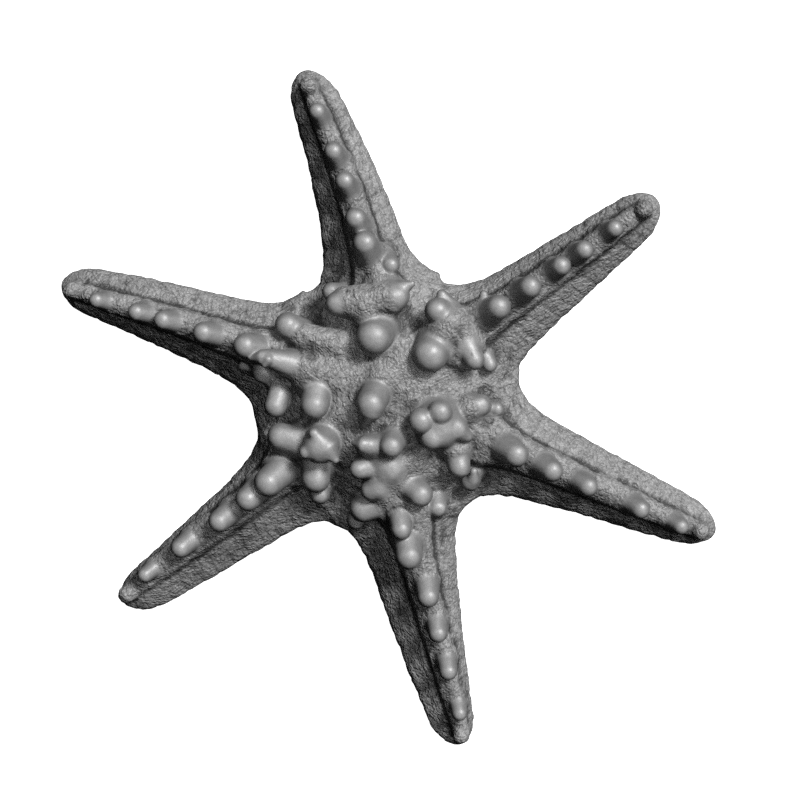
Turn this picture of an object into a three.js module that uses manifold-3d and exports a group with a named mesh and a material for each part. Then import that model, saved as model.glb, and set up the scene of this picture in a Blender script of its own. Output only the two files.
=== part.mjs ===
// A dried six-armed knobby starfish, grown as one piece, in millimetres with +Z up.
// The origin is under the middle of the animal, on the surface it lies on.
// Six lofted arms and a domed disc are joined into one solid with the blunt knobs
// that stand along every arm and over the disc. The flat underside is cut by the
// six walking grooves and the mouth.

import * as THREE from "three";
import { mergeVertices } from "three/addons/utils/BufferGeometryUtils.js";
import Module from "manifold-3d";

// ---- Driving dimensions ----

const DISC_CENTRE = new THREE.Vector2(-0.7, 5.2);
const DISC_RADIUS = 34.6;
const DISC_HEIGHT = 20;

const ARM_ROOT_HEIGHT = 20;
const ARM_HEIGHT_LOSS = 0.138; // height lost for each mm along an arm
const ARM_ROOT_WIDTH = 16.4; // half width that the straight taper starts from
const ARM_WIDTH_LOSS = 0.106;
const WEB_DISTANCE = 34; // where neighbouring arms run together
const WEB_FLARE = 4.1; // extra half width there
const WEB_REACH = 4.2; // how quickly the flare dies away along the arm
const WIDEST_FLARE = 20;
const TIP_ROUNDING = 9.5; // length of the rounded end of an arm

const BIG_KNOB_SIDES = 7;
const SMALL_KNOB_SIDES = 6;
const BIG_KNOB_RADIUS = 3; // tip radius from which a knob counts as big
const ARM_STATIONS = 12;
const ARM_START = 24; // inside the disc

const GROOVE_HALF_WIDTH = 2.1;
const GROOVE_DEPTH = 2.6;
const GROOVE_START = 3;
const GROOVE_END_GAP = 7; // solid length left at the end of each arm
const MOUTH_RADIUS = 6;
const MOUTH_DEPTH = 4.5;
const BELOW = 1; // cutting tools start this far under the flat underside

// Each arm: its direction from the disc in degrees, its reach from the disc's
// centre, the sideways bow of its middle, its girth against the common profile, and
// where its ridge runs at the root and at the tip, as a share of the half width.
// Its knobs are [distance along the arm, radius, sideways from the ridge].
const ARMS = [
  {
    angle: 103.7, reach: 94.5, bow: -4.6, girth: 0.96, ridge: [-0.38, 0],
    knobs: [[45, 3.6, 0], [52, 3.2, 0.4], [62.5, 2.9, 0], [71, 2.8, 0], [82.5, 2.6, 0]],
  },
  {
    angle: 36.8, reach: 94.5, bow: -0.7, girth: 0.96, ridge: [0.44, 0.2],
    knobs: [[43, 3.6, 0], [53, 3.3, 0], [63, 2.9, 0], [70.5, 2.8, 0], [80.5, 2.6, 0]],
  },
  {
    angle: -21.7, reach: 101, bow: 0.6, girth: 1.05, ridge: [0.3, -0.1],
    knobs: [[39.5, 3.8, 0], [50.5, 3.3, 0], [61.5, 3, 0], [77.5, 2.9, 0], [90, 2.5, 0]],
  },
  {
    angle: -78.2, reach: 105, bow: -1.6, girth: 1.1, ridge: [0, 0.6],
    knobs: [[34.5, 3.1, -2.9], [42.5, 4, -2.3], [55.5, 3.3, 0], [67, 2.9, 0], [79, 2.8, 0], [92.5, 2.4, 0]],
  },
  {
    angle: -141.1, reach: 99, bow: 1.7, girth: 1, ridge: [-0.36, -0.58],
    knobs: [[37.5, 4.3, 1.8], [45.5, 3.7, 1], [56.5, 3.3, 0.8], [71, 3, 0], [85, 2.4, 0]],
  },
  {
    angle: 160.8, reach: 98, bow: -1.9, girth: 1, ridge: [-0.34, 0.12],
    knobs: [[40.5, 3.7, 0], [53, 3.2, 0], [65, 2.9, 0], [73, 2.7, 0], [85, 2.4, 0]],
  },
];
const KNOB_RISE = 0.75; // how high a knob's rounded tip is centred over the ridge, in radii
const END_KNOB_RADIUS = 3.1;
const END_KNOB_INSET = 5;

// Knobs of the disc, placed from the disc's centre, tip first and then root:
// [x, y, z, radius, x, y, z, radius].
const DISC_KNOBS = [
  [-1.3, 20.2, 20, 5, -0.2, 21.9, 15, 5.3],
  [14.1, 15.5, 19.5, 4.9, 15.5, 18.1, 14.7, 5.6],
  [-11.5, 28.9, 17.9, 3.3, -6.6, 29, 12.3, 3.4],
  [-13.7, 31.6, 12.9, 2.6, -10.8, 31.1, 8.7, 2.6],
  [4.9, 31, 17.1, 3.5, 2.5, 33.1, 13.4, 3.8],
  [-25.6, 22.3, 14.4, 3.7, -20.8, 19, 10.9, 4.3],
  [-30.5, 13.8, 18.2, 2.6, -20.7, 10.6, 15, 4.8],
  [-33.6, 8.4, 12.5, 2.4, -30.6, 6.8, 11.6, 2.3],
  [-29.5, -0.5, 13.4, 3.2, -27.9, 5.5, 10.6, 3.3],
  [-17.8, 1.1, 19.6, 4, -17, 6.5, 14.4, 4.3],
  [-1.7, 2.2, 23, 4.1, -0.5, 5.5, 17.8, 4.3],
  [-27.7, -8.8, 15.4, 3.9, -21.5, -10.3, 14.8, 4.4],
  [-16.1, -10.3, 20.8, 4.8, -15.6, -8.6, 16.1, 5.1],
  [-18.1, -20.5, 15.4, 4.1, -17.8, -14.6, 13.7, 4.1],
  [-17.5, -25.7, 11.4, 3, -17.7, -22.4, 8.8, 3.1],
  [-3.2, -9.3, 22.3, 2.3, 0.2, -10.4, 18.6, 2.5],
  [3.8, -9.4, 23, 3.3, 4.5, -7.6, 19.2, 3.5],
  [-5.5, -17, 18.6, 2.8, 1.8, -15.5, 15.7, 3.8],
  [-2.3, -23.3, 16, 3.1, 2.5, -20.2, 13.8, 3.6],
  [-5, -29.4, 12.4, 4, -0.2, -27.9, 12.2, 4.1],
  [-7.6, -33.7, 9.5, 2.5, -5.8, -31.4, 7.6, 2.3],
  [17.1, 0.2, 22.6, 3, 16.1, -3.2, 17.6, 3],
  [11.8, -2.2, 23, 3.2, 14.4, -2.7, 18.6, 3.3],
  [14.7, -7.1, 21.5, 3.1, 15.6, -4.3, 16.9, 3.3],
  [21, -4.6, 18.9, 3, 17.7, -3.1, 15.9, 3.3],
  [27.7, 1.1, 15.9, 3.1, 24.5, -0.4, 13.3, 3.6],
  [32.1, -0.5, 12.4, 2.1, 29.8, -0.9, 10.7, 2],
  [22, -16.1, 16.4, 3.2, 20.8, -10.2, 13.5, 4.1],
  [24.9, -21.5, 10.5, 2.8, 26.1, -18.3, 8.4, 2.8],
  [11.3, -24, 17.4, 3.6, 6.4, -21.1, 12.7, 4.1],
  [15.7, -28.9, 11.9, 2.7, 15.4, -25.9, 8.5, 2.9],
  [15.9, 27.3, 17.4, 3.5, 20.4, 22.6, 13.9, 4.3],
  [26, 13.8, 16.4, 2.9, 22, 20.5, 13.8, 4.3],
  [30.1, 11.9, 12.4, 2.2, 28.4, 14.8, 9.7, 2.3],
  [2.8, 39.2, 13.4, 2.5, 1.6, 41, 10, 2.5],
  [-39.1, 10, 9.9, 1.4, -35.9, 9.9, 9.8, 1.8],
  [28.3, 31.3, 12.9, 1.2, 28.1, 28.3, 12.5, 1.5],
];
const ROOT_SINK = 4; // how much deeper each root is set, so that its flat end is inside

// Small points that stand on the knobs, from their foot to their end:
// [x, y, z, radius, x, y, z, radius].
const NIBS = [
  [5.7, 33, 16.6, 2.3, 9.7, 34.9, 17.3, 0.8],
  [-32.2, 14, 18.7, 2.3, -35.4, 13.6, 18.1, 0.8],
  [-30.3, 13.5, 20.2, 1.5, -31.3, 12.1, 20.2, 0.8],
  [-2.5, -0.6, 23, 2.7, -4.3, -4.1, 21.7, 0.8],
  [-13.9, -10.9, 22.3, 3.5, -11.7, -13.8, 22.9, 1],
  [-18.1, -11.3, 22.3, 3.1, -19.9, -11.6, 23.6, 1.6],
  [-16.1, -8.4, 22.8, 2.7, -17.4, -6, 24.4, 1.2],
  [-4.2, -9.1, 22.8, 2.3, -6.5, -8.9, 22.2, 0.8],
  [21.8, -5.4, 18.9, 3.1, 24, -7.3, 17.6, 1.9],
  [21.8, -17.7, 16.4, 2.7, 20.9, -19.5, 15.7, 1],
  [25.7, -20.5, 12, 2, 26, -18.1, 13.5, 1.2],
  [16.8, -29.3, 11.9, 2.4, 18.4, -30.3, 11.2, 0.8],
  [20.3, 27.4, 14.4, 2.3, 15.6, 33.1, 15.7, 0.8],
];

// Low ridges that tie some of the disc's knobs together: [x, y, x, y, z, radius].
const DISC_RIDGES = [
  [-9.1, 29.3, 3.2, 30.5, 16.7, 4.4],
  [-4.7, 28.6, -1.4, 22.8, 17.2, 4.1],
  [19.1, 23.6, 15.3, 17.7, 16.7, 4.4],
  [20.1, 23.9, 24, 17.4, 15.2, 4.1],
  [16.5, 15.5, 24.2, 14.5, 14.7, 4.1],
  [-22.1, 11.3, -17.7, 5.2, 15.7, 4.1],
  [-21.7, 19.4, -11.7, 16.8, 14.2, 4.1],
  [-23.2, -10.2, -17.9, -16.1, 13.7, 3.9],
  [-1, -11.4, 3.4, -17.5, 16.2, 4.4],
  [3.2, -18, 1.5, -24.3, 13.7, 4.2],
  [16.1, -3.4, 16.1, -6.2, 15.2, 6.9],
  [24.9, 0.1, 19.4, -2.8, 15.2, 3.3],
  [7.7, -21.7, 3.3, -19, 14.7, 3.9],
  [21.1, -11.7, 18.3, -7.8, 15.2, 3.9],
];

// ---- Solids ----

const wasm = await Module();
wasm.setup();

function toSolid(geometry) {
  const bare = geometry.clone();
  bare.deleteAttribute("normal");
  bare.deleteAttribute("uv");
  const merged = mergeVertices(bare);
  const mesh = new wasm.Mesh({
    numProp: 3,
    vertProperties: new Float32Array(merged.attributes.position.array),
    triVerts: new Uint32Array(merged.index.array),
  });
  return new wasm.Manifold(mesh);
}

function toGeometry(solid) {
  const mesh = solid.getMesh();
  const geometry = new THREE.BufferGeometry();
  geometry.setAttribute("position", new THREE.BufferAttribute(mesh.vertProperties, 3));
  geometry.setIndex(new THREE.BufferAttribute(mesh.triVerts, 1));
  geometry.computeVertexNormals();
  return geometry;
}

// Joins closed rings of points, each with the same count, into one closed surface.
function loft(rings) {
  const count = rings[0].length;
  const positions = rings.flat().flatMap((point) => point.toArray());
  const faces = [];
  for (let i = 0; i < rings.length - 1; i++) {
    for (let j = 0; j < count; j++) {
      const a = i * count + j;
      const b = i * count + ((j + 1) % count);
      faces.push(a, b, b + count, a, b + count, a + count);
    }
  }
  const last = (rings.length - 1) * count;
  for (let j = 1; j < count - 1; j++) {
    faces.push(0, j + 1, j);
    faces.push(last, last + j, last + j + 1);
  }
  const geometry = new THREE.BufferGeometry();
  geometry.setAttribute("position", new THREE.Float32BufferAttribute(positions, 3));
  geometry.setIndex(faces);
  return geometry;
}

// ---- Arms ----

function armPoint(arm, along, across, height) {
  const angle = THREE.MathUtils.degToRad(arm.angle);
  const side = across + arm.bow * Math.sin((Math.PI * along) / arm.reach);
  const x = DISC_CENTRE.x + along * Math.cos(angle) - side * Math.sin(angle);
  const y = DISC_CENTRE.y + along * Math.sin(angle) + side * Math.cos(angle);
  return new THREE.Vector3(x, y, height);
}

// 1 along the arm, falling to a small blunt end in a quarter ellipse.
function tipFactor(arm, along) {
  const past = (along - (arm.reach - TIP_ROUNDING)) / TIP_ROUNDING;
  return past <= 0 ? 1 : Math.sqrt(Math.max(0.03, 1 - past * past));
}

function armHalfWidth(arm, along) {
  const taper = ARM_ROOT_WIDTH - ARM_WIDTH_LOSS * along;
  const flare = WEB_FLARE * Math.exp((WEB_DISTANCE - along) / WEB_REACH);
  return Math.min(WIDEST_FLARE, arm.girth * taper + flare) * tipFactor(arm, along);
}

function ridgeHeight(arm, along) {
  return (ARM_ROOT_HEIGHT - ARM_HEIGHT_LOSS * along) * (0.35 + 0.65 * tipFactor(arm, along));
}

function ridgeOffset(arm, along) {
  const share = THREE.MathUtils.lerp(arm.ridge[0], arm.ridge[1], along / arm.reach);
  return share * Math.min(armHalfWidth(arm, along), ARM_ROOT_WIDTH);
}

// Half of the arm's section: [share of the half width, share of the ridge height].
// A raised band follows the ridge, with a step down to the flatter sides.
const SECTION = [[0.88, 0], [1, 0.2], [0.93, 0.34], [0.7, 0.48], [0.45, 0.64], [0.32, 0.86], [0.1, 1]];

function armRing(arm, along) {
  const half = armHalfWidth(arm, along);
  const top = ridgeHeight(arm, along);
  const shift = ridgeOffset(arm, along);
  const side = (sign) =>
    SECTION.map(([share, height]) =>
      armPoint(arm, along, shift + share * (sign * half - shift), top * height),
    );
  return [...side(1), ...side(-1).reverse()];
}

function armSolid(arm) {
  const rings = [];
  for (let i = 0; i <= ARM_STATIONS; i++) {
    const left = (1 - i / ARM_STATIONS) ** 1.3; // stations crowd together towards the tip
    rings.push(armRing(arm, THREE.MathUtils.lerp(arm.reach, ARM_START, left)));
  }
  return toSolid(loft(rings));
}

// ---- Disc ----

function discSolid() {
  const profile = [
    [0, 0], [0.95, 0], [1, 0.2], [0.93, 0.34], [0.8, 0.54], [0.6, 0.76], [0.4, 0.9], [0, 1],
  ];
  const points = profile.map(
    ([radius, height]) => new THREE.Vector2(radius * DISC_RADIUS, height * DISC_HEIGHT),
  );
  const dome = new THREE.LatheGeometry(points, 24);
  dome.rotateX(Math.PI / 2);
  dome.translate(DISC_CENTRE.x, DISC_CENTRE.y, 0);
  return toSolid(dome);
}

// ---- Knobs ----

// A blunt cone: a round root at one point and a rounded tip at the other.
function bluntCone(root, tip, rootRadius, tipRadius) {
  const length = root.distanceTo(tip);
  const big = tipRadius >= BIG_KNOB_RADIUS;
  const points = [
    new THREE.Vector2(0, 0),
    new THREE.Vector2(rootRadius, 0),
    new THREE.Vector2(tipRadius, length),
    ...(big ? [new THREE.Vector2(tipRadius * 0.7, length + tipRadius * 0.7)] : []),
    new THREE.Vector2(0, length + tipRadius),
  ];
  const cone = new THREE.LatheGeometry(points, big ? BIG_KNOB_SIDES : SMALL_KNOB_SIDES);
  const axis = tip.clone().sub(root).normalize();
  cone.applyQuaternion(new THREE.Quaternion().setFromUnitVectors(new THREE.Vector3(0, 1, 0), axis));
  cone.translate(root.x, root.y, root.z);
  return toSolid(cone);
}

function armKnob(arm, [along, radius, sideways]) {
  const across = ridgeOffset(arm, along) + sideways;
  const surface = ridgeHeight(arm, along);
  const root = armPoint(arm, along - radius, across, surface - radius);
  const tip = armPoint(arm, along, across, surface + KNOB_RISE * radius);
  return bluntCone(root, tip, radius * 1.1, radius * 0.95);
}

function endKnob(arm) {
  const along = arm.reach - END_KNOB_INSET;
  const across = 0.6 * ridgeOffset(arm, along);
  const root = armPoint(arm, along - 2, across, 2.5);
  const tip = armPoint(arm, along, across, ridgeHeight(arm, along) - 1);
  return bluntCone(root, tip, END_KNOB_RADIUS, END_KNOB_RADIUS * 0.8);
}

function discPoint(x, y, z) {
  return new THREE.Vector3(DISC_CENTRE.x + x, DISC_CENTRE.y + y, z);
}

function discRidge([x1, y1, x2, y2, z, radius]) {
  return bluntCone(discPoint(x1, y1, z), discPoint(x2, y2, z), radius, radius);
}

function discKnob([x, y, z, tipRadius, rootX, rootY, rootZ, rootRadius]) {
  const root = discPoint(rootX, rootY, rootZ - ROOT_SINK);
  return bluntCone(root, discPoint(x, y, z), rootRadius, tipRadius);
}

function nib([x1, y1, z1, footRadius, x2, y2, z2, endRadius]) {
  return bluntCone(discPoint(x1, y1, z1), discPoint(x2, y2, z2), footRadius, endRadius);
}

// ---- Underside ----

function grooveTool(arm) {
  const rings = [];
  const end = arm.reach - GROOVE_END_GAP;
  const steps = 4;
  for (let i = 0; i <= steps; i++) {
    const share = i / steps;
    const along = THREE.MathUtils.lerp(GROOVE_START, end, share);
    const half = GROOVE_HALF_WIDTH * (1 - 0.4 * share);
    const depth = GROOVE_DEPTH * (1 - 0.5 * share);
    rings.push([
      armPoint(arm, along, half, -BELOW),
      armPoint(arm, along, half * 0.45, depth),
      armPoint(arm, along, -half * 0.45, depth),
      armPoint(arm, along, -half, -BELOW),
    ]);
  }
  return toSolid(loft(rings));
}

function mouthTool() {
  const points = [
    new THREE.Vector2(0, -BELOW),
    new THREE.Vector2(MOUTH_RADIUS, -BELOW),
    new THREE.Vector2(MOUTH_RADIUS * 0.75, MOUTH_DEPTH * 0.4),
    new THREE.Vector2(0, MOUTH_DEPTH),
  ];
  const cup = new THREE.LatheGeometry(points, 12);
  cup.rotateX(Math.PI / 2);
  cup.translate(DISC_CENTRE.x, DISC_CENTRE.y, 0);
  return toSolid(cup);
}

// ---- The whole animal ----

function starfishSolid() {
  let body = discSolid();
  for (const arm of ARMS) {
    body = body.add(armSolid(arm)).add(endKnob(arm));
    for (const knob of arm.knobs) {
      body = body.add(armKnob(arm, knob));
    }
  }
  for (const ridge of DISC_RIDGES) {
    body = body.add(discRidge(ridge));
  }
  for (const knob of DISC_KNOBS) {
    body = body.add(discKnob(knob));
  }
  for (const point of NIBS) {
    body = body.add(nib(point));
  }
  for (const arm of ARMS) {
    body = body.subtract(grooveTool(arm));
  }
  return body.subtract(mouthTool());
}

const driedSkin = new THREE.MeshStandardMaterial({
  color: 0x8c8c8a,
  roughness: 0.72,
  metalness: 0,
});

const starfish = new THREE.Mesh(toGeometry(starfishSolid()), driedSkin);
starfish.name = "starfish";

const model = new THREE.Group();
model.add(starfish);

export default model;
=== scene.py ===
"""A dried six-armed knobby starfish on a pale studio floor.

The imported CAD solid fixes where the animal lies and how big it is. Its visible body is
modelled here as one skin: a distance field of arms, disc, ridge plates and blunt knobs
is turned into a mesh, then plates, grooves and wrinkles are pressed into its vertices.
Lengths in the tables are millimetres, measured from the middle of the disc.
"""

import math

import bpy
import numpy as np
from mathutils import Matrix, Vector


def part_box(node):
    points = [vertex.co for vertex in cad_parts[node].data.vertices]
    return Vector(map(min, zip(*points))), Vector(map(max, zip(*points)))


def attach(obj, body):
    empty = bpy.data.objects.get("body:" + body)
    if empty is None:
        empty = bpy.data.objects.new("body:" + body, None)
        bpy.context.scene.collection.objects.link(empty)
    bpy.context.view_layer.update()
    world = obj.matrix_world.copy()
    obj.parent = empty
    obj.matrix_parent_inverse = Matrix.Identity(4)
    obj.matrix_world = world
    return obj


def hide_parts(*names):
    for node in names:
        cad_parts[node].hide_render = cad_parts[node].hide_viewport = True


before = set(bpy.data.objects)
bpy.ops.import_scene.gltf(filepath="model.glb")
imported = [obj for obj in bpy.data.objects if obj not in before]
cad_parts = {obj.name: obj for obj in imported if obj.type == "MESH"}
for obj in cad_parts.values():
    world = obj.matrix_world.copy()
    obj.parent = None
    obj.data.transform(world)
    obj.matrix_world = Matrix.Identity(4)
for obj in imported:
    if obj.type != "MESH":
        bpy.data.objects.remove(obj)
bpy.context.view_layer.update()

import openvdb
from mathutils import Matrix, Vector

MM = 0.001
NODE = "starfish"
BODY = "root"

BOX_LOW, BOX_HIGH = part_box(NODE)
ORIGIN_X = (BOX_LOW[0] + BOX_HIGH[0]) / 2 / MM
ORIGIN_Y = (BOX_LOW[1] + BOX_HIGH[1]) / 2 / MM
FLOOR_Z = BOX_LOW[2] / MM

# ---- The animal, in millimetres ----

# The middle of the disc lies a little off the middle of the box, as the arms differ.
DISC_X = ORIGIN_X - 0.67
DISC_Y = ORIGIN_Y + 5.46
DISC_RADIUS = 34.6
DISC_HEIGHT = 20.0
ARM_ROOT_HEIGHT = 20.0
ARM_HEIGHT_LOSS = 0.138
ARM_ROOT_WIDTH = 16.4
ARM_WIDTH_LOSS = 0.106
WEB_DISTANCE = 34.0
WEB_FLARE = 4.1
WEB_REACH = 4.2
WIDEST_FLARE = 20.0
TIP_ROUNDING = 9.5
ARM_START = 20.0
SECTION_WIDEST = 0.2  # share of the height at which an arm is widest
SIDE_POWER = 2.2
RISE_POWER = 1.55
DISC_RISE_POWER = 1.1
BAND_EDGE = 0.38  # where the raised band ends, as a share of the way to the margin
BAND_STEP = 0.24  # how much of the back's fall happens at the band's edge
MARGIN_SHARE = 0.3  # height of the back at the margin, as a share of the ridge

# Direction in degrees, reach, sideways bow, girth, where the ridge runs at the root and
# at the tip as a share of the half width, and the knobs as
# (distance along, radius, sideways).
ARMS = [
    dict(angle=103.7, reach=94.5, bow=-4.6, girth=0.96, ridge=(-0.38, 0.0),
         knobs=[(45, 3.6, 0), (52, 3.2, 0.4), (62.5, 2.9, 0), (71, 2.8, 0), (82.5, 2.6, 0)]),
    dict(angle=36.8, reach=94.5, bow=-0.7, girth=0.96, ridge=(0.44, 0.2),
         knobs=[(43, 3.6, 0), (53, 3.3, 0), (63, 2.9, 0), (70.5, 2.8, 0), (80.5, 2.6, 0)]),
    dict(angle=-21.7, reach=101, bow=0.6, girth=1.05, ridge=(0.3, -0.1),
         knobs=[(39.5, 3.8, 0), (50.5, 3.3, 0), (61.5, 3.0, 0), (77.5, 2.9, 0), (90, 2.5, 0)]),
    dict(angle=-78.2, reach=105, bow=-1.6, girth=1.1, ridge=(0.0, 0.6),
         knobs=[(34.5, 3.1, -2.9), (42.5, 4.0, -2.3), (55.5, 3.3, 0), (67, 2.9, 0), (79, 2.8, 0),
                (92.5, 2.4, 0)]),
    dict(angle=-141.1, reach=99, bow=1.7, girth=1.0, ridge=(-0.36, -0.58),
         knobs=[(37.5, 4.3, 1.8), (45.5, 3.7, 1.0), (56.5, 3.3, 0.8), (71, 3.0, 0), (85, 2.4, 0)]),
    dict(angle=160.8, reach=98, bow=-1.9, girth=1.0, ridge=(-0.34, 0.12),
         knobs=[(40.5, 3.7, 0), (53, 3.2, 0), (65, 2.9, 0), (73, 2.7, 0), (85, 2.4, 0)]),
]
SKIRT = 1.0  # how far a disc knob's root runs on behind it, as a share of its lean
KNOB_RISE = 0.75
KNOB_TIP = 0.95
KNOB_BLEND = 0.6
RIDGE_BLEND = 1.4
SKIRT_BLEND = 2.4
NIB_BLEND = 0.5
DISC_RIDGE_BLEND = 1.8
SMOOTH_FROM = 0.45  # share of the way from a knob's root to its tip where it turns smooth
END_KNOB_RADIUS = 3.1
END_KNOB_INSET = 4.6

# Tip first, then root: x, y, z and radius of each.
DISC_KNOBS = [
    (-1.3, 20.2, 20, 5, -0.2, 21.9, 15, 5.3),
    (14.1, 15.5, 19.5, 4.9, 15.5, 18.1, 14.7, 5.6),
    (-11.5, 28.9, 17.9, 3.3, -6.6, 29, 12.3, 3.4),
    (-13.7, 31.6, 12.9, 2.6, -10.8, 31.1, 8.7, 2.6),
    (4.9, 31, 17.1, 3.5, 2.5, 33.1, 13.4, 3.8),
    (-25.6, 22.3, 14.4, 3.7, -20.8, 19, 10.9, 4.3),
    (-30.4, 13.9, 19.1, 2.6, -20.7, 10.7, 15.5, 4.8),
    (-33.6, 8.4, 12.5, 2.4, -30.6, 6.8, 11.6, 2.3),
    (-29.5, -0.5, 13.4, 3.2, -27.9, 5.5, 10.6, 3.3),
    (-17.7, 1.1, 20, 4, -17, 6.6, 14.7, 4.3),
    (-1.7, 2.3, 23.4, 4.1, -0.5, 5.5, 18, 4.3),
    (-27.7, -8.8, 15.4, 3.9, -21.5, -10.3, 14.8, 4.4),
    (-16.1, -10.3, 20.8, 4.8, -15.6, -8.6, 16.1, 5.1),
    (-18.1, -20.5, 15.4, 4.1, -17.8, -14.6, 13.7, 4.1),
    (-17.5, -25.7, 11.4, 3, -17.7, -22.4, 8.8, 3.1),
    (-3.2, -9.3, 22.3, 2.3, 0.2, -10.4, 18.6, 2.5),
    (3.8, -9.4, 23, 3.3, 4.5, -7.6, 19.2, 3.5),
    (-5.4, -16.8, 19.5, 2.8, 1.9, -15.5, 16.1, 3.8),
    (-2.3, -23.2, 16.7, 3.1, 2.6, -20.1, 14.1, 3.6),
    (-5, -29.4, 12.4, 4, -0.2, -27.9, 12.2, 4.1),
    (-7.6, -33.7, 9.5, 2.5, -5.8, -31.4, 7.6, 2.3),
    (17.1, 0.2, 22.8, 3.4, 16.1, -3.1, 17.8, 3),
    (11.9, -2.2, 23.3, 3.6, 14.4, -2.7, 18.9, 3.3),
    (14.8, -7.1, 21.8, 3.4, 15.6, -4.3, 17.1, 3.3),
    (21, -4.5, 19.1, 3.3, 17.7, -3.1, 15.9, 3.3),
    (27.6, 0.8, 14.1, 3.1, 24.5, -0.3, 13.8, 3.6),
    (32.1, -0.6, 12.1, 2.1, 29.8, -0.8, 10.9, 2),
    (22, -16.1, 16.4, 3.2, 20.8, -10.2, 13.5, 4.1),
    (24.9, -21.5, 10.5, 2.8, 26.1, -18.3, 8.4, 2.8),
    (11.3, -24, 17.4, 3.6, 6.4, -21.1, 12.7, 4.1),
    (15.7, -28.9, 11.9, 2.7, 15.4, -25.9, 8.5, 2.9),
    (15.9, 27.3, 17.4, 3.5, 20.4, 22.6, 13.9, 4.3),
    (26.0, 13.9, 17.2, 2.9, 22.1, 20.5, 14.2, 4.1),
    (30, 11.7, 11.4, 2.2, 28.4, 14.8, 10, 2.3),
    (2.8, 39.2, 13.4, 2.5, 1.6, 41, 10, 2.5),
    (-39.1, 10, 9.9, 1.4, -35.9, 9.9, 9.8, 1.8),
    (28.3, 31.3, 12.9, 1.2, 28.1, 28.3, 12.5, 1.5),
]

# Small points on the knobs: from x, y, z and radius to x, y, z and radius.
NIBS = [
    (5.7, 33, 16.6, 2.6, 8.9, 34.5, 17.2, 1),
    (-32.1, 14.1, 19.6, 2.3, -35.2, 13.7, 18.9, 0.8),
    (-30.2, 13.7, 21.1, 1.5, -31.2, 12.2, 21.1, 0.8),
    (-2.2, 0.3, 23.1, 3.6, -4.5, -4.7, 21.6, 0.7),
    (-13.9, -10.9, 21.9, 3.8, -11.7, -13.6, 22.1, 1.2),
    (-17.9, -11.2, 21.9, 3.5, -19.8, -11.6, 22.7, 1.9),
    (-16.1, -8.4, 22.4, 3.2, -17.3, -6.2, 23.4, 1.6),
    (-4.2, -9.1, 22.8, 2.3, -6.5, -8.9, 22.2, 0.8),
    (21.8, -5.4, 19.1, 3.1, 24, -7.2, 17.8, 1.9),
    (22, -16.8, 16.3, 3, 20.8, -20.2, 15.4, 0.9),
    (25.7, -20.5, 12, 2, 26, -18.1, 13.5, 1.2),
    (16.8, -29.3, 11.9, 2.4, 18.4, -30.3, 11.2, 0.8),
    (19.6, 27.6, 14.4, 2.6, 17, 31.4, 15.6, 1.5),
]

# Low ridges that tie knobs together: x, y, x, y, z, radius.
DISC_RIDGES = [
    (-9.1, 29.3, 3.2, 30.5, 16.7, 4.4),
    (-4.7, 28.6, -1.4, 22.8, 17.2, 4.1),
    (19.1, 23.6, 15.3, 17.7, 16.7, 4.4),
    (20.1, 23.9, 23.6, 17.8, 14.4, 4.1),
    (16.5, 15.5, 23, 14.9, 13.6, 4.1),
    (19.6, 20.8, 19.8, 17.2, 14.6, 4.4),
    (-22.1, 11.3, -17.7, 5.2, 15.7, 4.1),
    (-21.7, 19.4, -11.7, 16.8, 14.2, 4.1),
    (-23.2, -10.2, -17.9, -16.1, 13.7, 3.9),
    (3.2, -18, 1.5, -24.3, 13.7, 4.2),
    (24.9, 0.1, 19.4, -2.8, 15.2, 3.3),
    (7.7, -21.7, 3.3, -19, 14.7, 3.9),
    (21.1, -11.7, 18.3, -7.8, 15.2, 3.9),
]

# Smooth bodies that several knobs share: x, y, x, y, z, radius.
KNOB_BODIES = [
    (16.2, -3.2, 16.4, -4.6, 18.2, 6.4),
    (-3, -9.8, 3.6, -9.8, 21.2, 2.9),
    (-1, -11.4, 3, -16.9, 17.6, 4.2),
    (1.2, -15.3, -0.5, -22.1, 16.8, 3.6),
]

GROOVE_HALF_WIDTH = 2.1
GROOVE_DEPTH = 2.6
GROOVE_START = 3.0
GROOVE_END_GAP = 7.0
MOUTH_RADIUS = 6.0
MOUTH_DEPTH = 4.5

# ---- Relief on the skin, in millimetres ----

SWELL_DEPTH = 0.2
FOLD_DEPTH = 0.07
DISC_SWELL_DEPTH = 0.3  # added on the disc
DISC_FOLD_DEPTH = 0.1  # added on the disc
SMALL_FOLD_DEPTH = 0.05
RING_DEPTH = 0.06
RING_SPACING = 2.4
PLATE_PITCH = 4.9
PLATE_BULGE = 0.05
MARGIN_BULGE = 0.12
SEAM_DEPTH = 0.05
SEAM_WIDTH = 0.4
SEAM_REACH = 3.0  # beyond this distance a seam between plates no longer shows
SPINE_PITCH = 1.9
SPINE_DEPTH = 0.8
TILE_PITCH = 3.4
TILE_DEPTH = 0.5

# ---- How finely it is made ----

VOXEL = 0.4
MARGIN = 3.0
TOP_Z = 32.0
MOST_TRIANGLES = 196000
SEED = 11
FAR_OUTSIDE = 9.0  # distances are cut off here outside the animal
DEEP_INSIDE = -6.0  # and here inside it


# ---- Shape helpers ----

def smooth_step(low, high, value):
    t = np.clip((value - low) / (high - low), 0.0, 1.0)
    return t * t * (3.0 - 2.0 * t)


def blend_min(a, b, reach):
    h = np.maximum(reach - np.abs(a - b), 0.0) / reach
    return np.minimum(a, b) - h * h * reach * 0.25


def arm_bow(arm, along):
    return arm["bow"] * np.sin(np.pi * np.clip(along / arm["reach"], 0.0, 1.0))


def arm_half_width(arm, along):
    taper = arm["girth"] * (ARM_ROOT_WIDTH - ARM_WIDTH_LOSS * along)
    flare = WEB_FLARE * np.exp((WEB_DISTANCE - along) / WEB_REACH)
    return np.minimum(WIDEST_FLARE, taper + flare)


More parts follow.
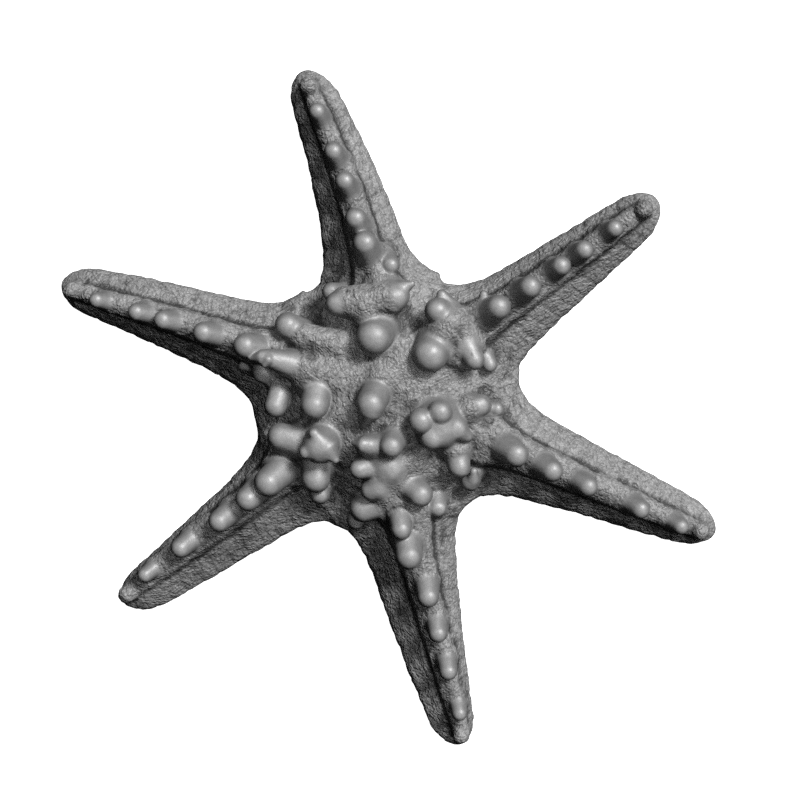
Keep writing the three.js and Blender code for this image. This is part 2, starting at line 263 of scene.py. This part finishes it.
def ridge_height(along):
    return ARM_ROOT_HEIGHT - ARM_HEIGHT_LOSS * along


def ridge_offset(arm, along):
    root, tip = arm["ridge"]
    share = root + (tip - root) * np.clip(along / arm["reach"], 0.0, 1.0)
    return share * np.minimum(arm_half_width(arm, along), ARM_ROOT_WIDTH)


def to_arm(arm, x, y):
    """Distance along an arm from the disc's middle, and sideways from its bowed axis."""
    angle = math.radians(arm["angle"])
    dx = x - DISC_X
    dy = y - DISC_Y
    along = dx * math.cos(angle) + dy * math.sin(angle)
    across = dy * math.cos(angle) - dx * math.sin(angle) - arm_bow(arm, along)
    return along, across


def from_arm(arm, along, across, z):
    angle = math.radians(arm["angle"])
    side = across + float(arm_bow(arm, along))
    x = DISC_X + along * math.cos(angle) - side * math.sin(angle)
    y = DISC_Y + along * math.sin(angle) + side * math.cos(angle)
    return np.array((x, y, FLOOR_Z + z))


def on_disc(x, y, z):
    return np.array((DISC_X + x, DISC_Y + y, FLOOR_Z + z))


# ---- The distance field ----

class Field:
    """Distances on a regular grid, in millimetres, negative inside the animal."""

    def __init__(self):
        low = np.array(BOX_LOW) / MM - MARGIN
        high = np.array(BOX_HIGH) / MM + MARGIN
        high[2] = FLOOR_Z + TOP_Z
        self.low = low
        self.count = np.ceil((high - low) / VOXEL).astype(int) + 1
        self.axes = [low[i] + VOXEL * np.arange(self.count[i]) for i in range(3)]
        self.values = np.full(self.count, FAR_OUTSIDE, dtype=np.float32)

    def window(self, low, high):
        first = np.floor((np.array(low) - self.low) / VOXEL).astype(int)
        last = np.ceil((np.array(high) - self.low) / VOXEL).astype(int) + 1
        first = np.clip(first, 0, self.count)
        last = np.clip(last, 0, self.count)
        return tuple(slice(a, b) for a, b in zip(first, last))

    def near(self, start, end, start_radius, end_radius, blend):
        """The part of the grid around a rounded cone, and its distances from the cone."""
        reach = max(start_radius, end_radius) + blend + 1.0
        box = self.window(np.minimum(start, end) - reach, np.maximum(start, end) + reach)
        x = self.axes[0][box[0]][:, None, None]
        y = self.axes[1][box[1]][None, :, None]
        z = self.axes[2][box[2]][None, None, :]
        return box, cone_distance(x, y, z, start, end, start_radius, end_radius)

    def cone(self, start, end, start_radius, end_radius, blend):
        """Joins on a rounded cone between two points."""
        box, distance = self.near(start, end, start_radius, end_radius, blend)
        self.values[box] = blend_min(self.values[box], distance, blend)

    def carve(self, start, end, start_radius, end_radius, blend):
        """Cuts a rounded channel between two points."""
        box, distance = self.near(start, end, start_radius, end_radius, blend)
        self.values[box] = -blend_min(-self.values[box], distance, blend)

    def sample(self, values, points):
        """Reads a grid of values at points, between the grid's own places."""
        place = (points - self.low) / VOXEL
        place = np.clip(place, 0, np.array(self.count) - 1.001)
        cell = place.astype(int)
        return blend_corners(cell, place - cell, lambda corner: values[tuple(corner)])


def blend_corners(cell, part, read):
    """Blends what read gives at the eight corners of each point's cell."""
    total = np.zeros(len(cell))
    for corner in range(8):
        step = np.array([(corner >> axis) & 1 for axis in range(3)])
        weight = np.prod(np.where(step, part, 1.0 - part), axis=1)
        total += weight * read((cell + step).T)
    return total


def cone_distance(x, y, z, start, end, start_radius, end_radius):
    axis = end - start
    length2 = float(axis @ axis)
    dot = (x - start[0]) * axis[0] + (y - start[1]) * axis[1] + (z - start[2]) * axis[2]
    share = np.clip(dot / length2, 0.0, 1.0)
    dx = x - start[0] - share * axis[0]
    dy = y - start[1] - share * axis[1]
    dz = z - start[2] - share * axis[2]
    return np.sqrt(dx * dx + dy * dy + dz * dz) - start_radius - (end_radius - start_radius) * share


def side_distance(spread, half, height, z, rise=RISE_POWER):
    """Roughly how far a point is outside a rounded loaf of that half width and height."""
    widest = SECTION_WIDEST * height
    above = np.clip((z - widest) / (height - widest), 0.0, None)
    below = np.clip((widest - z) / (1.9 * widest), 0.0, None)
    value = spread ** SIDE_POWER + above ** rise + below ** 2
    slope_side = SIDE_POWER * spread ** (SIDE_POWER - 1.0) / half
    slope_up = rise * above ** (rise - 1.0) / (height - widest)
    slope_down = below / (0.95 * widest)
    slope = np.sqrt(slope_side ** 2 + slope_up ** 2 + slope_down ** 2) + 0.02
    return np.clip((value - 1.0) / slope, DEEP_INSIDE, FAR_OUTSIDE)


def back_profile(share):
    """An arm's back: a raised band along the ridge, a step down, a slope to the margin."""
    step = smooth_step(BAND_EDGE - 0.06, BAND_EDGE + 0.06, share)
    slope = np.clip((share - 0.06) / 0.94, 0.0, 1.0) ** 1.1
    return MARGIN_SHARE + (1.0 - MARGIN_SHARE) * (1.0 - BAND_STEP * step - (1.0 - BAND_STEP) * slope)


def arm_layers(arm, x, y):
    """What doesn't change with height: the outline's spread, and the back's height and slope."""
    along, across = to_arm(arm, x, y)
    half = arm_half_width(arm, np.clip(along, ARM_START, None))
    height = np.clip(ridge_height(along), 4.0, None)
    past = np.clip(along - (arm["reach"] - TIP_ROUNDING), 0.0, None) / TIP_ROUNDING
    before = np.clip(ARM_START - along, 0.0, None) / ARM_START
    spread = np.sqrt((across / half) ** 2 + past * past + before * before)
    off = across - ridge_offset(arm, along)
    room = half - np.sign(off) * ridge_offset(arm, along)
    share = np.sqrt((off / room) ** 2 + (0.9 * past) ** 2)
    back = height * back_profile(share)
    step = 0.01
    fall = height * (back_profile(share + step) - back_profile(share)) / (step * room)
    return spread, half, 1.2 * height, back, np.sqrt(1.0 + fall * fall)


def body_field(field):
    """The arms and the disc, without their knobs, one level of height at a time."""
    x = field.axes[0][:, None]
    y = field.axes[1][None, :]
    layers = [arm_layers(arm, x, y) for arm in ARMS]
    radius = np.hypot(x - DISC_X, y - DISC_Y)
    spread = radius / DISC_RADIUS
    for level, z in enumerate(field.axes[2]):
        up = z - FLOOR_Z
        value = side_distance(spread, DISC_RADIUS, DISC_HEIGHT, up, DISC_RISE_POWER)
        for arm_spread, half, height, back, stretch in layers:
            side = side_distance(arm_spread, half, height, up)
            top = (up - back) / stretch
            value = blend_min(value, -blend_min(-side, -top, 1.5), 2.5)
        field.values[:, :, level] = value


def knob_place(arm, along, sideways):
    return along, float(ridge_offset(arm, along)) + sideways, float(ridge_height(along))


def arm_ridge(field, arm):
    """The raised plates along an arm's ridge, each with its knob."""
    previous = ARM_START + 8.0
    for along, radius, sideways in arm["knobs"]:
        start = previous + 0.3 * (along - previous)
        end = along - 0.9 * radius
        _, first_side, first_up = knob_place(arm, start, sideways)
        _, last_side, last_up = knob_place(arm, end, sideways)
        low = from_arm(arm, start, first_side, first_up - 1.2 * radius)
        high = from_arm(arm, end, last_side, last_up - 0.9 * radius)
        field.cone(low, high, radius * 0.9, radius * 1.2, RIDGE_BLEND)
        previous = along
    for knob in arm["knobs"]:
        root, tip, root_radius, tip_radius = arm_knob(arm, *knob)
        field.cone(root, tip, root_radius, tip_radius, KNOB_BLEND)
    end_knob(field, arm)


def arm_knob(arm, along, radius, sideways):
    """The root and the tip of an arm's knob, and the radius of each."""
    _, across, surface = knob_place(arm, along, sideways)
    root = from_arm(arm, along - 1.2 * radius, across, surface - 0.6 * radius)
    tip = from_arm(arm, along, across, surface + KNOB_RISE * radius)
    return root, tip, radius * 1.1, radius * KNOB_TIP


def end_knob(field, arm):
    along = arm["reach"] - END_KNOB_INSET
    across = 0.6 * float(ridge_offset(arm, along))
    root = from_arm(arm, along - 2.0, across, 2.5)
    tip = from_arm(arm, along, across, float(ridge_height(along)) * 0.9)
    field.cone(root, tip, END_KNOB_RADIUS, END_KNOB_RADIUS * 0.8, 1.0)


def disc_knobs(field):
    for x1, y1, x2, y2, z, radius in DISC_RIDGES + KNOB_BODIES:
        field.cone(on_disc(x1, y1, z), on_disc(x2, y2, z), radius, radius, DISC_RIDGE_BLEND)
    for x1, y1, z1, radius1, x2, y2, z2, radius2 in DISC_KNOBS:
        root = on_disc(x2, y2, z2)
        back = on_disc(x2 + SKIRT * (x2 - x1), y2 + SKIRT * (y2 - y1), z2 - 0.5)
        field.cone(back, root, radius2 * 0.8, radius2 * 0.9, SKIRT_BLEND)
        field.cone(root, on_disc(x1, y1, z1), radius2, radius1, KNOB_BLEND)
    for x1, y1, z1, radius1, x2, y2, z2, radius2 in NIBS:
        field.cone(on_disc(x1, y1, z1), on_disc(x2, y2, z2), radius1, radius2, NIB_BLEND)


def underside(field):
    """The flat mouth side: a floor plane, six walking grooves and the mouth."""
    z = field.axes[2][None, None, :]
    plane = (FLOOR_Z - z).astype(np.float32)
    field.values[:] = -blend_min(-field.values, -plane, 1.0)
    for arm in ARMS:
        end = arm["reach"] - GROOVE_END_GAP
        stations = np.linspace(GROOVE_START, end, 9)
        share = (stations - GROOVE_START) / (end - GROOVE_START)
        radii = GROOVE_HALF_WIDTH * (1.0 - 0.45 * share)
        depths = GROOVE_DEPTH * (1.0 - 0.5 * share)
        points = [from_arm(arm, a, 0.0, d - r) for a, d, r in zip(stations, depths, radii)]
        for i in range(len(points) - 1):
            field.carve(points[i], points[i + 1], radii[i], radii[i + 1], 0.6)
    low = on_disc(0, 0, MOUTH_DEPTH - MOUTH_RADIUS)
    field.carve(low, low + np.array((0, 0, 0.1)), MOUTH_RADIUS, MOUTH_RADIUS, 1.0)


def blurred(values, reach):
    """A box blur of the field, which tells hollows from bulges."""
    steps = max(1, int(round(reach / VOXEL)))
    result = values
    for axis in range(3):
        padding = [(0, 0)] * 3
        padding[axis] = (steps + 1, steps)
        total = np.cumsum(np.pad(result, padding, mode="edge"), axis=axis, dtype=np.float32)
        width = 2 * steps + 1
        size = result.shape[axis]
        ahead = np.take(total, np.arange(width, width + size), axis=axis)
        behind = np.take(total, np.arange(0, size), axis=axis)
        result = (ahead - behind) / width
    return result


# ---- Surface relief ----

class Noise:
    """Repeatable soft noise in three dimensions, from -1 to 1."""

    SIZE = 64

    def __init__(self, seed):
        chance = np.random.default_rng(seed)
        self.lattice = chance.uniform(-1.0, 1.0, (self.SIZE,) * 3)

    def __call__(self, points, wavelength):
        place = points / wavelength
        cell = np.floor(place).astype(int)
        part = place - cell
        part = part * part * (3.0 - 2.0 * part)
        return blend_corners(cell, part, lambda corner: self.lattice[tuple(corner % self.SIZE)])


def all_knobs():
    """Every knob as a rounded cone: its root, its tip, and the radius of each."""
    knobs = [(on_disc(*row[4:7]), on_disc(*row[:3]), row[7], row[3]) for row in DISC_KNOBS]
    for arm in ARMS:
        knobs += [arm_knob(arm, *knob) for knob in arm["knobs"]]
    return knobs


def smooth_parts():
    """The smooth parts of the disc and arm knobs, as rounded cones like those of all_knobs."""
    parts = []
    for root, tip, root_radius, tip_radius in all_knobs():
        start = root + SMOOTH_FROM * (tip - root)
        parts.append((start, tip, root_radius + SMOOTH_FROM * (tip_radius - root_radius), tip_radius))
    parts += [(on_disc(*row[:3]), on_disc(*row[4:7]), row[3], row[7]) for row in NIBS]
    for x1, y1, x2, y2, z, radius in KNOB_BODIES:
        parts.append((on_disc(x1, y1, z), on_disc(x2, y2, z), radius, radius))
    return parts


def tip_mask(points):
    """1 on the smooth heads of the knobs, 0 on the skin between them."""
    mask = np.zeros(len(points))
    for part in smooth_parts():
        edge = 0.3 + 0.3 * part[3]
        mask = np.maximum(mask, 1.0 - smooth_step(0.0, edge, cone_distance(*points.T, *part)))
    return mask


def knob_distance(points):
    """How far the skin is from the nearest knob, in millimetres."""
    nearest = np.full(len(points), 30.0)
    for knob in all_knobs():
        nearest = np.minimum(nearest, cone_distance(*points.T, *knob))
    return nearest


def line(distance, width):
    return np.exp(-((distance / width) ** 2))


def plates(points):
    """The arms' plates: how far each bulges, and the distance to the nearest seam."""
    bulge = np.zeros(len(points))
    seam = np.full(len(points), SEAM_REACH)
    for number, arm in enumerate(ARMS):
        along, across = to_arm(arm, points[:, 0], points[:, 1])
        half = arm_half_width(arm, np.clip(along, ARM_START, None))
        here = smooth_step(27.0, 36.0, along) * (np.abs(across) < 1.4 * half)
        off = across - ridge_offset(arm, along)
        side = np.sign(off)
        share = np.abs(off) / (half - side * ridge_offset(arm, along))
        pitch = PLATE_PITCH + 0.3 * side + 0.1 * number
        phase = (along - 0.3 * np.abs(off) + 1.7 * number) / pitch
        within = np.abs(phase - np.floor(phase) - 0.5)
        band = here * smooth_step(BAND_EDGE - 0.1, BAND_EDGE, share)
        swell = 0.5 - (2.0 * within) ** 2
        margin = smooth_step(0.75, 0.95, share)
        bulge += here * (PLATE_BULGE * band + MARGIN_BULGE * margin) * swell
        across_seam = (0.5 - within) * pitch
        long_seam = np.abs(share - BAND_EDGE - 0.05 - 0.03 * swell) * half
        nearest = np.minimum(across_seam, long_seam) + SEAM_REACH * (1.0 - band)
        seam = np.minimum(seam, nearest)
    return bulge, seam


def wrinkle_relief(points, noise):
    """Folds, wrinkles and grains of the dried skin, deepest on the disc."""
    disc = 1.0 - smooth_step(26.0, 42.0, np.hypot(points[:, 0] - DISC_X, points[:, 1] - DISC_Y))
    warp = np.stack([noise(points + 31.0 * i, 3.0) for i in range(3)], axis=1)
    bent = points + 0.9 * warp
    swell = noise(points + 13.0, 7.0)
    folds = 1.0 - 3.0 * np.abs(noise(bent, 3.2))
    small = 1.0 - 3.0 * np.abs(noise(bent + 57.0, 1.7))
    rings = np.sin(2.0 * np.pi * knob_distance(points) / RING_SPACING + 5.0 * noise(points + 91.0, 4.0))
    relief = (SWELL_DEPTH + DISC_SWELL_DEPTH * disc) * swell
    relief += (FOLD_DEPTH + DISC_FOLD_DEPTH * disc) * folds
    return relief + SMALL_FOLD_DEPTH * small + RING_DEPTH * rings


def mouth_side_relief(points):
    """How deep the gaps are between the spines and tiles beside the walking grooves."""
    cut = np.zeros(len(points))
    for arm in ARMS:
        along, across = to_arm(arm, points[:, 0], points[:, 1])
        half = arm_half_width(arm, np.clip(along, ARM_START, None))
        here = (along > 5.0) * (np.abs(across) < 1.2 * half) * (np.abs(across) < 0.6 * along)
        off = np.abs(across)
        comb = np.abs(along / SPINE_PITCH - np.floor(along / SPINE_PITCH) - 0.5)
        rows = np.abs(off / TILE_PITCH - np.floor(off / TILE_PITCH) - 0.5)
        beside = smooth_step(2.0, 2.6, off) * (1.0 - smooth_step(4.6, 5.2, off))
        spines = beside * line((0.5 - comb) * SPINE_PITCH, 0.35)
        tiles = smooth_step(4.8, 5.6, off) * line((0.5 - rows) * TILE_PITCH, 0.4)
        cut = np.maximum(cut, here * np.maximum(SPINE_DEPTH * spines, TILE_DEPTH * tiles))
    return cut


# ---- Mesh ----

def starfish_mesh():
    field = Field()
    body_field(field)
    for arm in ARMS:
        arm_ridge(field, arm)
    disc_knobs(field)
    underside(field)
    grid = openvdb.FloatGrid(background=FAR_OUTSIDE)
    grid.copyFromArray(field.values)
    points, quads = grid.convertToQuads(isovalue=0.0)
    points = field.low + points.astype(float) * VOXEL
    mesh = bpy.data.meshes.new(NODE + "_skin")
    mesh.from_pydata(points * MM, [], quads.tolist())
    mesh.validate()
    mesh.update()
    return mesh, field


def mesh_points(mesh):
    points = np.empty(len(mesh.vertices) * 3)
    mesh.vertices.foreach_get("co", points)
    normals = np.empty(len(mesh.vertices) * 3)
    mesh.vertices.foreach_get("normal", normals)
    return points.reshape(-1, 3) / MM, normals.reshape(-1, 3)


def press_relief(mesh):
    points, normals = mesh_points(mesh)
    noise = Noise(SEED)
    rough = 1.0 - 0.92 * tip_mask(points)
    bulge, seam = plates(points)
    upper = smooth_step(-0.5, 0.1, normals[:, 2])
    groove = SEAM_DEPTH * upper * line(seam, SEAM_WIDTH)
    relief = rough * (upper * bulge - groove + wrinkle_relief(points, noise))
    under = smooth_step(0.2, 0.8, -normals[:, 2]) * (points[:, 2] < FLOOR_Z + 1.0)
    relief *= 1.0 - under
    points += normals * relief[:, None]
    points[:, 2] += under * mouth_side_relief(points)
    points[:, 2] += under * (0.12 + 0.12 * noise(points, 1.3))
    points[:, 2] = np.maximum(points[:, 2], FLOOR_Z)
    mesh.vertices.foreach_set("co", (points * MM).ravel())
    mesh.update()


def thin_out(piece):
    """Merges the flattest faces until the mesh has at most MOST_TRIANGLES triangles."""
    triangles = sum(len(p.vertices) - 2 for p in piece.data.polygons)
    if triangles <= MOST_TRIANGLES:
        return
    modifier = piece.modifiers.new("thin", "DECIMATE")
    modifier.ratio = MOST_TRIANGLES / triangles
    bpy.context.view_layer.objects.active = piece
    bpy.ops.object.modifier_apply(modifier=modifier.name)


def paint_masks(piece, field):
    """Stores what the material needs: knob heads, the painted highlight on their tops, the painted
    shade in crevices, rings, seams.
    """
    mesh = piece.data
    points, normals = mesh_points(mesh)
    hollow = field.sample(blurred(field.values, 1.6), points)
    # painted shade: colour is darkened where the blurred field shows a hollow
    crevice_shade = np.clip(0.5 - 1.2 * hollow, 0.0, 1.0)
    _, seam = plates(points)
    tip = tip_mask(points)
    # painted highlight: the knob heads are paler where they face upwards
    top_highlight = tip * smooth_step(0.45, 0.95, normals[:, 2])
    painted = dict(tip=tip, top_highlight=top_highlight, crevice_shade=crevice_shade, ring=knob_distance(points), seam=seam)
    for name, values in painted.items():
        layer = mesh.attributes.new(name, "FLOAT", "POINT")
        layer.data.foreach_set("value", values.astype(np.float32))


# ---- Material ----

class Shading:
    """A new material, with short ways to add nodes to it and join them up."""

    def __init__(self, name):
        self.material = bpy.data.materials.new(name)
        self.material.use_nodes = True
        self.nodes = self.material.node_tree.nodes
        self.links = self.material.node_tree.links
        self.shader = self.nodes["Principled BSDF"]
        self.place = self.nodes.new("ShaderNodeTexCoord").outputs["Object"]

    def feed(self, socket, source):
        """Joins a node's output to a socket, or sets the socket to a number."""
        if isinstance(source, (int, float)):
            socket.default_value = source
        else:
            self.links.new(source, socket)

    def noise(self, scale, detail, rough):
        node = self.nodes.new("ShaderNodeTexNoise")
        node.inputs["Scale"].default_value = scale
        node.inputs["Detail"].default_value = detail
        node.inputs["Roughness"].default_value = rough
        self.links.new(self.place, node.inputs["Vector"])
        return node.outputs["Fac"]

    def ramp(self, source, stops):
        node = self.nodes.new("ShaderNodeValToRGB")
        self.links.new(source, node.inputs["Fac"])
        for element, (position, grey) in zip(node.color_ramp.elements, stops):
            element.position = position
            element.color = (grey, grey, grey, 1.0)
        return node.outputs["Color"]

    def mix(self, factor, a, b, mode="MIX"):
        node = self.nodes.new("ShaderNodeMix")
        node.data_type = "RGBA"
        node.blend_type = mode
        sockets = {socket.name: socket for socket in node.inputs if socket.enabled}
        self.feed(sockets["Factor"], factor)
        self.feed(sockets["A"], a)
        self.feed(sockets["B"], b)
        return [socket for socket in node.outputs if socket.enabled][0]

    def attribute(self, name):
        node = self.nodes.new("ShaderNodeAttribute")
        node.attribute_name = name
        return node.outputs["Fac"]

    def maths(self, operation, a, b):
        node = self.nodes.new("ShaderNodeMath")
        node.operation = operation
        self.feed(node.inputs[0], a)
        self.feed(node.inputs[1], b)
        return node.outputs["Value"]

    def cracks(self, scale, sharpness):
        """0 along thin winding lines, 1 between them."""
        centred = self.maths("SUBTRACT", self.noise(scale, 2.0, 0.6), 0.5)
        height = self.maths("ABSOLUTE", centred, 0.0)
        return self.maths("MINIMUM", self.maths("MULTIPLY", height, sharpness), 1.0)

    def rings(self, spacing, wander):
        """0 in the wrinkles that run round the knobs, 1 between them."""
        turns = self.maths("MULTIPLY", self.attribute("ring"), 2.0 * math.pi / spacing)
        bend = self.maths("MULTIPLY", self.noise(260.0, 3.0, 0.6), wander)
        wave = self.maths("SINE", self.maths("ADD", turns, bend), 0.0)
        return self.maths("MULTIPLY", self.maths("ADD", wave, 1.0), 0.5)

    def granules(self, scale):
        """1 in the middle of each small grain of the skin, less between grains."""
        node = self.nodes.new("ShaderNodeTexVoronoi")
        node.inputs["Scale"].default_value = scale
        self.links.new(self.place, node.inputs["Vector"])
        return self.maths("SUBTRACT", 1.0, node.outputs["Distance"])

    def seams(self):
        """0 in the ragged seams between plates, 1 away from them."""
        ragged = self.maths("MULTIPLY", self.noise(700.0, 2.0, 0.6), 0.8)
        distance = self.maths("ADD", self.attribute("seam"), ragged)
        return self.ramp(self.maths("MULTIPLY", distance, 0.5), ((0.25, 0.0), (0.5, 1.0)))


def skin_colour(paint, grain, folds, beads, seam):
    """Patchy grey, darker in the skin's own small hollows, with painted shade darkening the crevices.
    """
    colour = paint.ramp(paint.noise(90.0, 4.0, 0.6), ((0.3, 0.185), (0.7, 0.25)))
    shades = [
        (grain, ((0.35, 0.8), (0.65, 1.0))),
        (folds, ((0.0, 0.66), (0.6, 1.0))),
        (beads, ((0.3, 0.75), (0.7, 1.0))),
        (seam, ((0.0, 0.84), (1.0, 1.0))),
        # painted shade in the crevices
        (paint.attribute("crevice_shade"), ((0.5, 1.0), (0.88, 0.25))),
    ]
    for source, stops in shades:
        colour = paint.mix(1.0, colour, paint.ramp(source, stops), "MULTIPLY")
    return colour


def head_colour(paint):
    """Painted shade and highlight on the knobs' heads: dark round their sides, pale on their
    upward-facing tops.
    """
    heads = paint.ramp(paint.noise(500.0, 3.0, 0.6), ((0.3, 0.1), (0.7, 0.13)))
    pale = paint.ramp(paint.noise(700.0, 3.0, 0.6), ((0.3, 0.2), (0.7, 0.25)))
    # painted highlight on the heads' tops over their darker painted-shade sides
    return paint.mix(paint.attribute("top_highlight"), heads, pale)


def dried_skin_material():
    paint = Shading("dried_skin")
    paint.shader.inputs["Specular IOR Level"].default_value = 0.5
    tip = paint.attribute("tip")
    grain = paint.noise(3200.0, 1.0, 0.5)
    seam = paint.seams()
    broken = paint.ramp(paint.noise(420.0, 2.0, 0.6), ((0.38, 0.0), (0.6, 1.0)))
    lines = paint.maths("MULTIPLY", paint.rings(0.95, 22.0), broken)
    folds = paint.cracks(330.0, 11.0)
    beads = paint.granules(1150.0)

    skin = skin_colour(paint, grain, folds, beads, seam)
    colour = paint.mix(tip, skin, head_colour(paint))
    paint.feed(paint.shader.inputs["Base Color"], colour)

    dull = paint.ramp(paint.noise(700.0, 2.0, 0.5), ((0.3, 0.5), (0.7, 0.65)))
    glossy = paint.ramp(paint.noise(300.0, 2.0, 0.5), ((0.3, 0.42), (0.7, 0.52)))
    paint.feed(paint.shader.inputs["Roughness"], paint.mix(tip, dull, glossy))

    bump = paint.nodes.new("ShaderNodeBump")
    bump.inputs["Distance"].default_value = 0.15 * MM
    paint.feed(bump.inputs["Strength"], paint.ramp(tip, ((0.0, 1.0), (1.0, 0.1))))
    height = folds
    for layer, weight in ((lines, 0.8), (grain, 0.6), (beads, 0.9), (seam, 0.4)):
        height = paint.maths("ADD", height, paint.maths("MULTIPLY", layer, weight))
    paint.feed(bump.inputs["Height"], height)
    paint.feed(paint.shader.inputs["Normal"], bump.outputs["Normal"])
    return paint.material


def floor_material():
    material = bpy.data.materials.new("pale_floor")
    material.use_nodes = True
    shader = material.node_tree.nodes["Principled BSDF"]
    shader.inputs["Base Color"].default_value = (0.9, 0.9, 0.9, 1.0)
    shader.inputs["Roughness"].default_value = 1.0
    shader.inputs["Specular IOR Level"].default_value = 0.0
    shader.inputs["Emission Color"].default_value = (1.0, 1.0, 1.0, 1.0)
    shader.inputs["Emission Strength"].default_value = 0.9
    return material


# ---- Studio ----

FLOOR_HALF = 8.0  # metres from the middle to an edge
CAMERA_LENS = 85.0
SENSOR = 36.0
FRAME_WIDTH = 0.224  # metres across the picture at the animal
CAMERA_TILT = 11.0  # degrees from straight down
CAMERA_SIDE = 63.3  # direction the camera leans to, degrees from +X
AIM = Vector((0.0042, 0.006, 0.008))  # metres
KEY_SIDE = 48.0
KEY_HEIGHT = 42.0
KEY_STRENGTH = 4.8
OPEN_KEY_STRENGTH = 1.6
KEY_SOFTNESS = 16.0
FRONT_HEIGHT = 72.0
FRONT_STRENGTH = 0.15
FRONT_SOFTNESS = 40.0
WORLD_STRENGTH = 0.008


def direction(side, height):
    side = math.radians(side)
    height = math.radians(height)
    flat = math.cos(height)
    return Vector((flat * math.cos(side), flat * math.sin(side), math.sin(height)))


def add_floor():
    corners = [(-1, -1), (1, -1), (1, 1), (-1, 1)]
    low = FLOOR_Z * MM
    mesh = bpy.data.meshes.new("floor")
    places = [(x * FLOOR_HALF, y * FLOOR_HALF, low) for x, y in corners]
    mesh.from_pydata(places, [], [(0, 1, 2, 3)])
    floor = bpy.data.objects.new("floor", mesh)
    floor.data.materials.append(floor_material())
    floor.visible_diffuse = False
    floor.visible_glossy = False
    bpy.context.scene.collection.objects.link(floor)


def add_sun(name, side, height, strength, softness):
    light = bpy.data.lights.new(name, "SUN")
    light.energy = strength
    light.angle = math.radians(softness)
    lamp = bpy.data.objects.new(name, light)
    lamp.rotation_euler = direction(side, height).to_track_quat("Z", "Y").to_euler()
    bpy.context.scene.collection.objects.link(lamp)
    return lamp


def add_lights():
    """A soft key light, the same again without shadows to open them up, and a weak front."""
    add_sun("key", KEY_SIDE, KEY_HEIGHT, KEY_STRENGTH, KEY_SOFTNESS)
    open_key = add_sun("open_key", KEY_SIDE, KEY_HEIGHT, OPEN_KEY_STRENGTH, KEY_SOFTNESS)
    open_key.data.use_shadow = False
    add_sun("front", CAMERA_SIDE, FRONT_HEIGHT, FRONT_STRENGTH, FRONT_SOFTNESS)


def add_world():
    world = bpy.data.worlds.new("studio")
    world.use_nodes = True
    world.node_tree.nodes["Background"].inputs["Color"].default_value = (1.0, 1.0, 1.0, 1.0)
    world.node_tree.nodes["Background"].inputs["Strength"].default_value = WORLD_STRENGTH
    bpy.context.scene.world = world


def add_camera():
    camera = bpy.data.objects.new("camera", bpy.data.cameras.new("camera"))
    camera.data.lens = CAMERA_LENS
    camera.data.sensor_width = SENSOR
    camera.data.clip_end = 100.0
    distance = FRAME_WIDTH * CAMERA_LENS / SENSOR
    view = direction(CAMERA_SIDE, 90.0 - CAMERA_TILT)
    camera.location = AIM + view * distance
    side = Vector((0, 1, 0)).cross(view).normalized()
    up = view.cross(side)
    camera.rotation_euler = Matrix((side, up, view)).transposed().to_euler()
    bpy.context.scene.collection.objects.link(camera)
    bpy.context.scene.camera = camera


# ---- Put together ----

def add_starfish():
    mesh, field = starfish_mesh()
    press_relief(mesh)
    piece = bpy.data.objects.new("starfish_skin", mesh)
    bpy.context.scene.collection.objects.link(piece)
    thin_out(piece)
    paint_masks(piece, field)
    piece.data.shade_smooth()
    piece.data.materials.append(dried_skin_material())
    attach(piece, BODY)
    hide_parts(NODE)


add_starfish()
add_floor()
add_lights()
add_world()
add_camera()

bpy.context.scene.view_settings.view_transform = "Standard"
bpy.context.scene.cycles.use_denoising = False
